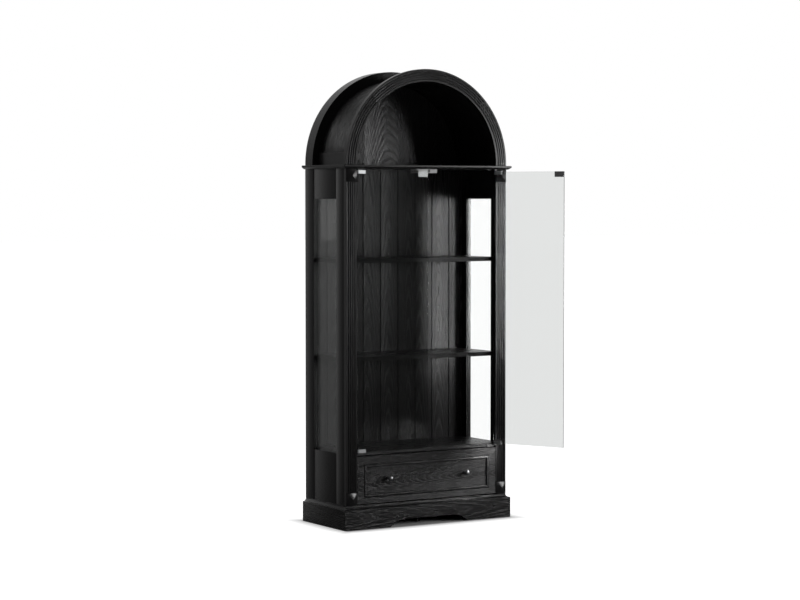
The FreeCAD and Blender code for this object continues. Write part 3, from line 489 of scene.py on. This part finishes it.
# the camera's place, its turn to the right and downwards, and its focal length in pixels of the picture
EYE = (-5.606, -9.026, 1.520)
YAW, PITCH = math.radians(31.66), math.radians(2.618)
FOCAL_PIXELS, FRAME_PIXELS, SENSOR = 2261.7, 800.0, 36.0


def make_camera():
    lens = bpy.data.cameras.new("camera")
    lens.sensor_width = SENSOR
    lens.lens = FOCAL_PIXELS / FRAME_PIXELS * SENSOR
    lens.clip_end = 200.0
    camera = bpy.data.objects.new("camera", lens)
    camera.location = EYE
    camera.rotation_euler = (math.pi / 2 - PITCH, 0.0, -YAW)
    bpy.context.scene.collection.objects.link(camera)
    bpy.context.scene.camera = camera


# ---- surfaces

def grid_piece(name, *grids, around=False):
    """A mesh on grids of points: each square of four neighbours is a face, and around joins the last column
    of a grid to its first. Points that coincide, as at a pole, are merged by weld."""
    points, faces, start = [], [], 0
    for grid in grids:
        rows, columns = grid.shape[:2]
        number = start + np.arange(rows * columns).reshape(rows, columns)
        if around:
            number = np.concatenate([number, number[:, :1]], axis=1)
        squares = [number[:-1, :-1], number[:-1, 1:], number[1:, 1:], number[1:, :-1]]
        faces.append(np.stack(squares, axis=-1).reshape(-1, 4))
        points.append(grid.reshape(-1, 3))
        start += rows * columns
    mesh = bpy.data.meshes.new(name)
    mesh.from_pydata(np.concatenate(points).tolist(), [], np.concatenate(faces).tolist())
    piece = bpy.data.objects.new(name, mesh)
    bpy.context.scene.collection.objects.link(piece)
    return piece


def weld(mesh, distance=1e-6):
    """Merge what coincides and turn the faces outwards."""
    shell = bmesh.new()
    shell.from_mesh(mesh)
    bmesh.ops.remove_doubles(shell, verts=shell.verts, dist=distance)
    bmesh.ops.dissolve_degenerate(shell, edges=shell.edges, dist=distance)
    bmesh.ops.recalc_face_normals(shell, faces=shell.faces)
    shell.to_mesh(mesh)
    shell.free()


def square_to(axis):
    """Two unit vectors square to a unit axis and to each other."""
    u = np.cross(axis, (0.0, 0.0, 1.0) if abs(axis[2]) < 0.9 else (1.0, 0.0, 0.0))
    u /= np.linalg.norm(u)
    return u, np.cross(axis, u)


def turned(profile, centre, axis, steps=40):
    """Points of a surface of revolution. A profile point is (distance along the axis, radius), and the point
    at angle a is centre + distance * axis + radius * (cos a * u + sin a * v), with u and v square to the
    axis."""
    distance, radius = np.array(profile, float).T[:, :, None]
    axis = np.array(axis, float)
    u, v = square_to(axis)
    angle = np.linspace(0.0, 2 * math.pi, steps, endpoint=False)[None, :]
    ring = np.cos(angle)[..., None] * u + np.sin(angle)[..., None] * v
    return np.array(centre, float) + distance[..., None] * axis + radius[..., None] * ring


RIM_FLAT = 1.6              # the ring of a plate's face inside its rim, as a share of the rim's radius
SMALLEST_CORNER = 0.0002


def plate(low, high, axis, corner, edge, steps=6):
    """Points of a flat plate square to an axis, in the box from low to high. Each row is the outline of a
    rectangle with round corners; over the first and the last rows the outline shrinks along a quarter circle
    of radius edge, and both faces close at a pole in their middle."""
    low, high = np.array(low, float), np.array(high, float)
    one, two = [number for number in range(3) if number != axis]
    middle, half = (low + high) / 2, (high - low) / 2
    turn = np.linspace(0.0, math.pi / 2, steps)
    bend = [(edge * (1 - math.cos(t)), edge * (1 - math.sin(t))) for t in turn]
    thick = 2 * half[axis]
    rise = [(0.0, None), (0.0, RIM_FLAT * edge)] + bend
    rows = rise + [(thick - height, inset) for height, inset in reversed(rise)]
    corners = np.concatenate([quarter * math.pi / 2 + turn for quarter in range(4)])
    signs = np.repeat((1.0, -1.0, -1.0, 1.0), steps)
    tops = np.repeat((1.0, 1.0, -1.0, -1.0), steps)
    grid = np.zeros((len(rows), 4 * steps, 3))
    for number, (height, inset) in enumerate(rows):
        ring = grid[number]
        ring[:, axis] = low[axis] + height
        if inset is None:
            ring[:, one], ring[:, two] = middle[one], middle[two]
            continue
        round_ = max(corner - inset, SMALLEST_CORNER)
        ring[:, one] = middle[one] + signs * (half[one] - inset - round_) + round_ * np.cos(corners)
        ring[:, two] = middle[two] + tops * (half[two] - inset - round_) + round_ * np.sin(corners)
    return grid


def hung_plate(name, corner, edge, shift=0.0):
    """Points of a plate in place of an upright CAD plate at any turn about Z. The plate is laid out square to
    Y in the frame of the CAD plate's own length and thickness, and turned with that frame; shift moves its
    near face."""
    node = frame["nodes"][name]
    points = np.array([node.matrix_world @ vertex.co for vertex in node.data.vertices])
    middle = points.mean(axis=0)
    _, _, ways = np.linalg.svd(points[:, :2] - middle[:2])
    length = ways[0] * (1.0 if ways[0][0] > 0 else -1.0)
    turn = np.array([[length[0], length[1], 0.0], [-length[1], length[0], 0.0], [0.0, 0.0, 1.0]])
    own = (points - middle) @ turn.T
    low, high = own.min(axis=0), own.max(axis=0)
    low[1] += shift
    return plate(low, high, 1, corner, edge) @ turn + middle


# rings of a screw head, its dome, and its slots' half width, reach and depth, as shares of its radius
SCREW_RINGS = (0.0, 0.16, 0.3, 0.45, 0.6, 0.75, 0.9, 1.0, 1.0)
SCREW_DOME, SLOT_HALF, SLOT_REACH, SLOT_DEPTH = 0.3, 0.16, 0.62, 0.26


def cross_screw(centre, axis, radius, steps=32):
    """Points of a screw head: a low dome about the axis, pressed in along two crossed slots, where the height
    falls by depth * exp(-(distance to the slot / half width) ** 4), and closed at its pole."""
    share = np.array(SCREW_RINGS)[:, None]
    angle = np.linspace(0.0, 2 * math.pi, steps, endpoint=False)[None, :]
    x, y = share * np.cos(angle), share * np.sin(angle)
    slot = np.exp(-(np.minimum(abs(x), abs(y)) / SLOT_HALF) ** 4) * (share < SLOT_REACH)
    height = SCREW_DOME * np.sqrt(1.0 - 0.95 * share ** 2) - SLOT_DEPTH * slot
    height[-1] = 0.0
    axis = np.array(axis, float)
    u, v = square_to(axis)
    return np.array(centre, float) + radius * (x[..., None] * u + y[..., None] * v + height[..., None] * axis)


# in degrees: faces flatter than this are joined, and edges of a copy stay sharp from here and are eased from
# here; and the corner from which a new piece stays sharp
JOINED_BELOW, COPY_SHARP, COPY_EASED, NEW_SHARP = 0.3, 28.0, 32.0, 40.0
CAD_WELD = 2e-6


def finish_smooth(piece, material):
    """Weld a new piece, shade it smooth but for its sharp corners, and give it its material."""
    weld(piece.data)
    piece.data.shade_smooth()
    piece.data.set_sharp_from_angle(angle=math.radians(NEW_SHARP))
    piece.data.materials.append(material)


def ride_as(piece, body, slot, *replaced):
    """Let a new piece ride on a body in place of CAD nodes. The slot is not used."""
    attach(piece, body)
    for name in replaced:
        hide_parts(name)


def eased_copy(name, width):
    """A copy of a CAD mesh, merged and with its flat faces joined, whose arrises a Bevel modifier eases."""
    node = frame["nodes"][name]
    mesh = node.data.copy()
    mesh.name = "eased_" + name
    weld(mesh, CAD_WELD)
    shell = bmesh.new()
    shell.from_mesh(mesh)
    bmesh.ops.dissolve_limit(shell, angle_limit=math.radians(JOINED_BELOW), verts=shell.verts,
                             edges=shell.edges)
    shell.to_mesh(mesh)
    shell.free()
    mesh.shade_smooth()
    mesh.set_sharp_from_angle(angle=math.radians(COPY_SHARP))
    piece = bpy.data.objects.new(mesh.name, mesh)
    piece.matrix_world = node.matrix_world
    bpy.context.scene.collection.objects.link(piece)
    ease = piece.modifiers.new("eased arrises", "BEVEL")
    ease.limit_method, ease.angle_limit = "ANGLE", math.radians(COPY_EASED)
    ease.width, ease.segments, ease.harden_normals = width, 2, True
    return piece


# ---- woodwork

class BOOKCASE_OT_woodwork(bpy.types.Operator):
    """Give every board its own black-stained oak"""
    bl_idname = "bookcase.woodwork"
    bl_label = "Woodwork"

    def execute(self, context):
        chance = np.random.default_rng(11)
        for name, (order, heart, taper, boards) in BOARDS.items():
            low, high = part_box(name)
            centre = (np.array(low) + np.array(high)) / 2
            shift = np.zeros(3)
            shift[AXES[order[0]]] = chance.uniform(-CUT_ALONG, CUT_ALONG)
            shift[AXES[order[1]]] = chance.uniform(-CUT_ASIDE, CUT_ASIDE) * heart
            crown = (1, low.y, high.y) if name.startswith(CROWNED) else None
            dress(black_oak(name, order, tuple(centre + shift * (boards is None)), heart, taper, boards,
                            crown=crown), name)
        for name, radius in BENT.items():
            dress(black_oak(name, "xyz", (0.0, 0.0, ARCH_CENTRE), 0.2, 0.01, bend=radius), name)
        return {"FINISHED"}


# how far along the log a board may be cut from, and how far beside its heart, as a share of the heart's depth
CUT_ALONG, CUT_ASIDE = 3.0, 0.4
ARCH_CENTRE = 1.6698
FILLED = ("pilaster", "side_", "corner_blocks", "arch_front_ring", "arch_rear_ring", "arch_foot", "cornice")
CROWNED = ("side_left", "side_right", "plinth_left", "plinth_right")
BENT = {"arch_front_ring": 0.41, "arch_barrel": 0.388, "arch_rear_ring": 0.41}

# order of the axes along, across and through each board, depth of its heart, taper, and width of its boards
BOARDS = {
    "plinth_front": ("xzy", 0.14, 0.02, None), "plinth_right": ("yzx", 0.14, 0.02, None),
    "plinth_left": ("yzx", 0.14, 0.02, None), "plinth_back": ("xzy", 0.14, 0.02, None),
    "base_panel": ("xyz", 0.06, 0.03, None), "plinth_bearer": ("yzx", 0.2, 0.01, None),
    "plinth_corner_blocks": ("zxy", 0.1, 0.01, None),
    "side_right_front_stile": ("zyx", 0.16, 0.01, None), "side_left_front_stile": ("zyx", 0.16, 0.01, None),
    "side_right_rear_stile": ("zyx", 0.18, 0.01, None), "side_left_rear_stile": ("zyx", 0.18, 0.01, None),
    "side_right_top_rail": ("zyx", 0.05, 0.05, None), "side_left_top_rail": ("zyx", 0.05, 0.05, None),
    "side_right_bottom_panel": ("zyx", 0.05, 0.05, None), "side_left_bottom_panel": ("zyx", 0.05, 0.05, None),
    "side_right_glazing_beads": ("zyx", 0.2, 0.01, None), "side_left_glazing_beads": ("zyx", 0.2, 0.01, None),
    "pilaster_right": ("zxy", 0.15, 0.01, None), "pilaster_left": ("zxy", 0.15, 0.01, None),
    "corner_blocks_right": ("zxy", 0.1, 0.02, None), "corner_blocks_left": ("zxy", 0.1, 0.02, None),
    "top_panel": ("xyz", 0.06, 0.02, None), "cornice_front": ("xzy", 0.15, 0.01, None),
    "cornice_right": ("yzx", 0.15, 0.01, None), "cornice_left": ("yzx", 0.15, 0.01, None),
    "arch_back": ("zxy", 0.045, 0.07, 0.27), "arch_foot_right": ("yzx", 0.1, 0.01, None),
    "arch_foot_left": ("yzx", 0.1, 0.01, None),
    "display_deck": ("xyz", 0.07, 0.03, None), "shelf_lower": ("xyz", 0.07, 0.03, None),
    "shelf_upper": ("xyz", 0.07, 0.03, None), "back_panel": ("zxy", 0.035, 0.022, 0.0965),
    "drawer_front": ("xzy", 0.045, 0.07, None), "drawer_moulding": ("xzy", 0.2, 0.01, None),
    "runner_packings": ("yzx", 0.1, 0.01, None),
}


class BOOKCASE_OT_eased_edges(bpy.types.Operator):
    """Ease the arrises of the boards that show"""
    bl_idname = "bookcase.eased_edges"
    bl_label = "Eased Edges"

    def execute(self, context):
        easing = context.scene.bookcase_wood.easing
        for names, share in EASED:
            for name in names.split():
                piece = eased_copy(name, easing * share)
                ride_as(piece, body_of(frame["nodes"][name])[0], "black_oak", name)
        return {"FINISHED"}


# the boards whose arrises are eased, and by what share of the set width
EASED = (
    ("plinth_front plinth_right plinth_left plinth_back cornice_front cornice_right cornice_left", 1.4),
    ("display_deck shelf_lower shelf_upper drawer_front arch_foot_right arch_foot_left", 1.2),
    ("side_right_front_stile side_left_front_stile side_right_rear_stile side_left_rear_stile", 0.8),
    ("side_right_top_rail side_left_top_rail side_right_bottom_panel side_left_bottom_panel", 0.8),
    ("pilaster_right pilaster_left arch_front_ring", 0.45),
    ("arch_rear_ring arch_barrel corner_blocks_right corner_blocks_left drawer_moulding", 0.6),
)


# ---- glass and fittings

GLASS_IOR = 1.5
METAL_RELIEF, PLASTIC_RELIEF = 0.00002, 0.00005


def glass_material(name, tint, clear_share=1.0):
    """Glass that lets the studio light through; what is not clear of it scatters as a faint film."""
    material, tree, shader, give = new_material(name)
    place = add(tree, "TexCoord", out=3)
    handled = place_group(tree, "Handling", {"Vector": place, "Roughness": 0.0, "Smears": 0.02})
    give(Base_Color=tuple(tint), Roughness=handled["Roughness"], IOR=GLASS_IOR,
         Transmission_Weight=clear_share)
    path = tree.nodes.new("ShaderNodeLightPath")
    unseen = calculate(tree, "MAXIMUM", path.outputs["Is Shadow Ray"], path.outputs["Is Diffuse Ray"])
    clear = add(tree, "BsdfTransparent", {"Color": tuple(share ** 0.5 for share in tint)})
    mixed = add(tree, "MixShader", {0: unseen, 1: shader.outputs[0], 2: clear})
    output = tree.nodes["Material Output"]
    tree.links.new(mixed, output.inputs["Surface"])
    return material


def metal_material(name, colour, roughness, smears=0.06, brushing=0.0):
    """Bare or plated metal with faint smears, and brushed where brushing is above nought."""
    material, tree, _, give = new_material(name)
    place = add(tree, "TexCoord", out=3)
    handled = place_group(tree, "Handling", {"Vector": place, "Roughness": roughness, "Smears": smears,
                                             "Brushing": brushing})
    give(Base_Color=tuple(colour), Metallic=1.0, Roughness=handled["Roughness"],
         Normal=relief(tree, handled["Height"], METAL_RELIEF, 0.5))
    return material


def plastic_material(name, colour, roughness):
    """Moulded plastic with a fine skin."""
    material, tree, _, give = new_material(name)
    place = add(tree, "TexCoord", out=3)
    handled = place_group(tree, "Handling", {"Vector": place, "Roughness": roughness, "Smears": 0.1})
    give(Base_Color=tuple(colour), Roughness=handled["Roughness"],
         Normal=relief(tree, handled["Height"], PLASTIC_RELIEF, 0.5))
    return material


class BOOKCASE_OT_glazing(bpy.types.Operator):
    """Glaze the side frames and the doors"""
    bl_idname = "bookcase.glazing"
    bl_label = "Glazing"

    def execute(self, context):
        fittings = context.scene.bookcase_fittings
        side_pane = glass_material("clear_glass_side", fittings.side_glass, SIDE_CLEAR)
        door_pane = glass_material("clear_glass_door", fittings.door_glass)
        for side in ("right", "left"):
            for name, material, body in (("side_%s_glass", side_pane, "root"),
                                         ("door_%s_glass", door_pane, "door_" + side)):
                name = name % side
                points = hung_plate(name, PANE_CORNER, fittings.pane_edge)
                pane = grid_piece("pane_" + name, points, around=True)
                finish_smooth(pane, material)
                ride_as(pane, body, "clear_glass", name)
        return {"FINISHED"}


SIDE_CLEAR = 0.95           # the share of a side pane that is clear of its film
PANE_CORNER = 0.0025


class BOOKCASE_OT_strikes(bpy.types.Operator):
    """Set a polished strike plate behind the top corner of each door"""
    bl_idname = "bookcase.strikes"
    bl_label = "Strikes"

    def execute(self, context):
        fittings = context.scene.bookcase_fittings
        material = metal_material("strike_steel", fittings.strike, 0.50)
        for side in ("right", "left"):
            name = "door_%s_strike" % side
            points = hung_plate(name, STRIKE_CORNER, STRIKE_RIM, STRIKE_OFF_GLASS)
            piece = grid_piece("polished_strike_" + side, points, around=True)
            finish_smooth(piece, material)
            ride_as(piece, "door_" + side, "strike_steel", name)
        return {"FINISHED"}


STRIKE_CORNER, STRIKE_RIM, STRIKE_OFF_GLASS = 0.003, 0.0003, 0.00015


class BOOKCASE_OT_screws(bpy.types.Operator):
    """Drive the screws that hold the back panel and the back of the arch"""
    bl_idname = "bookcase.screws"
    bl_label = "Screws"

    def execute(self, context):
        fittings = context.scene.bookcase_fittings
        low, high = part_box("back_panel")
        rear = high.y
        rows = np.linspace(low.z + ROW_END, high.z - ROW_END, 8)
        places = [(side * (high.x - SIDE_INSET), rear, z) for side in (-1, 1) for z in rows]
        ends = (low.z + END_INSET, high.z - END_INSET)
        places += [(x, rear, z) for x in np.linspace(-END_ROW, END_ROW, 5) for z in ends]
        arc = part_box("arch_back")[1].x - ARC_INSET
        places += [(arc * math.cos(turn), rear, ARCH_CENTRE + arc * math.sin(turn))
                   for turn in np.radians(np.linspace(ARC_START, 180 - ARC_START, 9))]
        heads = [cross_screw(place, (0.0, 1.0, 0.0), fittings.screw_radius) for place in places]
        piece = grid_piece("back_screws", *heads, around=True)
        finish_smooth(piece, metal_material("zinc_screws", fittings.zinc, 0.3))
        ride_as(piece, "root", "zinc_steel")
        return {"FINISHED"}


# the screws' distance from the panel's edges, where their rows end, and the first one's angle on the arch
SIDE_INSET, END_INSET, ARC_INSET = 0.011, 0.012, 0.007
ROW_END, END_ROW, ARC_START = 0.03, 0.29, 8


class BOOKCASE_OT_fittings(bpy.types.Operator):
    """Finish the hinges, latch, pins, runners and glides"""
    bl_idname = "bookcase.fittings"
    bl_label = "Fittings"

    def execute(self, context):
        fittings = context.scene.bookcase_fittings
        dress(metal_material("chrome", fittings.chrome, 0.28), "door_right_hinge_clips",
              "door_left_hinge_clips")
        dress(metal_material("black_brackets", fittings.bracket, 0.45), "hinge_brackets")
        dress(metal_material("pin_steel", fittings.steel, 0.25), "shelf_pins")
        dress(metal_material("zinc_steel", fittings.zinc, 0.32, 0.12, 0.1), "runner_cabinet_members",
              "runner_middle_members", "runner_drawer_members")
        dress(plastic_material("latch_plastic", fittings.plastic, 0.4), "latch_housing",
              "latch_plunger_right", "latch_plunger_left")
        dress(plastic_material("glide_plastic", fittings.glide, 0.5), "floor_glides")
        return {"FINISHED"}


class BOOKCASE_OT_drawer_box(bpy.types.Operator):
    """Finish the drawer box in plain birch"""
    bl_idname = "bookcase.drawer_box"
    bl_label = "Drawer Box"

    def execute(self, context):
        wood = context.scene.bookcase_wood
        for name, order in DRAWER_BOX.items():
            low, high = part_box(name)
            material, tree, _, give = new_material("plain_birch_" + name)
            vector = sawn(tree, order, tuple((np.array(low) + np.array(high)) / 2))
            pale = tuple(wood.birch)
            figure = place_group(tree, "Oak Figure", {
                **BIRCH_FIGURE, "Vector": vector, "Hard Wood": pale,
                "Open Wood": tuple(BIRCH_OPEN * share for share in pale)})
            give(Base_Color=figure["Colour"], Roughness=figure["Roughness"],
                 Normal=relief(tree, figure["Height"], BIRCH_RELIEF))
            dress(material, name)
        return {"FINISHED"}


# the figure of birch, its open wood as a share of its colour, and the relief of its grain
BIRCH_FIGURE = {"Ring Spacing": 0.008, "Heart Depth": 0.06, "Taper": 0.02, "Wander": 0.012, "Satin": 0.45}
BIRCH_OPEN, BIRCH_RELIEF = 0.8, 0.0001
DRAWER_BOX = {"drawer_right_side": "yzx", "drawer_left_side": "yzx", "drawer_back": "xzy",
              "drawer_bottom": "xyz"}


class BOOKCASE_OT_knobs(bpy.types.Operator):
    """Turn the two drawer knobs"""
    bl_idname = "bookcase.knobs"
    bl_label = "Knobs"

    def execute(self, context):
        fittings = context.scene.bookcase_fittings
        low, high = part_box("drawer_knobs")
        reach = high.y - low.y
        rim = fittings.knob_radius
        middle = (high.x - low.x) / 2 - rim
        turns = np.linspace(0.0, 1.0, 12) * math.pi / 2
        dome = [(reach - KNOB_DOME * (1 - math.cos(turn)), rim * math.sin(turn)) for turn in turns]
        under = [(distance, rim * share) for distance, share in KNOB_UNDER]
        profile = dome + under + list(KNOB_STEM)
        points = [turned(profile, (side * middle, high.y, (low.z + high.z) / 2), (0.0, -1.0, 0.0))
                  for side in (-1, 1)]
        meshes = [grid_piece("turned_knob_%s" % side, grid, around=True)
                  for side, grid in zip(("left", "right"), points)]
        material = metal_material("dark_nickel", fittings.knob_metal, 0.3, 0.1)
        for knob in meshes:
            finish_smooth(knob, material)
            ride_as(knob, "drawer", "dark_metal", "drawer_knobs")
        return {"FINISHED"}


# the height of a knob's dome; from the drawer front, the distances and the shares of the rim's radius under
# the dome; and the distances and radii of the stem
KNOB_DOME = 0.0062
KNOB_UNDER = ((0.0205, 1.0), (0.0185, 0.97), (0.0165, 0.86))
KNOB_STEM = ((0.0145, 0.0056), (0.0125, 0.0045), (0.0085, 0.0045), (0.0065, 0.0052), (0.0045, 0.0068),
             (0.0038, 0.0075), (0.0008, 0.0075), (0.0, 0.0071), (0.0, 0.0))


# ---- panel and order of work

STEPS = ("stage", "woodwork", "eased_edges", "glazing", "strikes", "fittings", "screws", "drawer_box",
         "knobs")


class BOOKCASE_PT_panel(bpy.types.Panel):
    """The bookcase's steps, sizes and colours"""
    bl_idname = "BOOKCASE_PT_panel"
    bl_label = "Bookcase"
    bl_space_type = "VIEW_3D"
    bl_region_type = "UI"
    bl_category = "Bookcase"

    def draw(self, context):
        for step in STEPS:
            self.layout.operator("bookcase." + step)
        for group in (context.scene.bookcase_wood, context.scene.bookcase_fittings):
            box = self.layout.box()
            for name in group.bl_rna.properties.keys()[2:]:
                box.prop(group, name)


CLASSES = (BookcaseWood, BookcaseFittings, BOOKCASE_OT_stage, BOOKCASE_OT_woodwork, BOOKCASE_OT_eased_edges,
           BOOKCASE_OT_glazing, BOOKCASE_OT_strikes, BOOKCASE_OT_screws, BOOKCASE_OT_fittings,
           BOOKCASE_OT_drawer_box, BOOKCASE_OT_knobs, BOOKCASE_PT_panel)


def register():
    for each in CLASSES:
        bpy.utils.register_class(each)
    bpy.types.Scene.bookcase_wood = PointerProperty(type=BookcaseWood)
    bpy.types.Scene.bookcase_fittings = PointerProperty(type=BookcaseFittings)


def unregister():
    del bpy.types.Scene.bookcase_fittings
    del bpy.types.Scene.bookcase_wood
    for each in reversed(CLASSES):
        bpy.utils.unregister_class(each)


def main():
    register()
    for make_group in (oak_figure_group, matched_boards_group, bent_grain_group, handling_group):
        make_group()
    for step in STEPS:
        getattr(bpy.ops.bookcase, step)()
    bpy.context.view_layer.update()


if __name__ == "__main__":
    main()
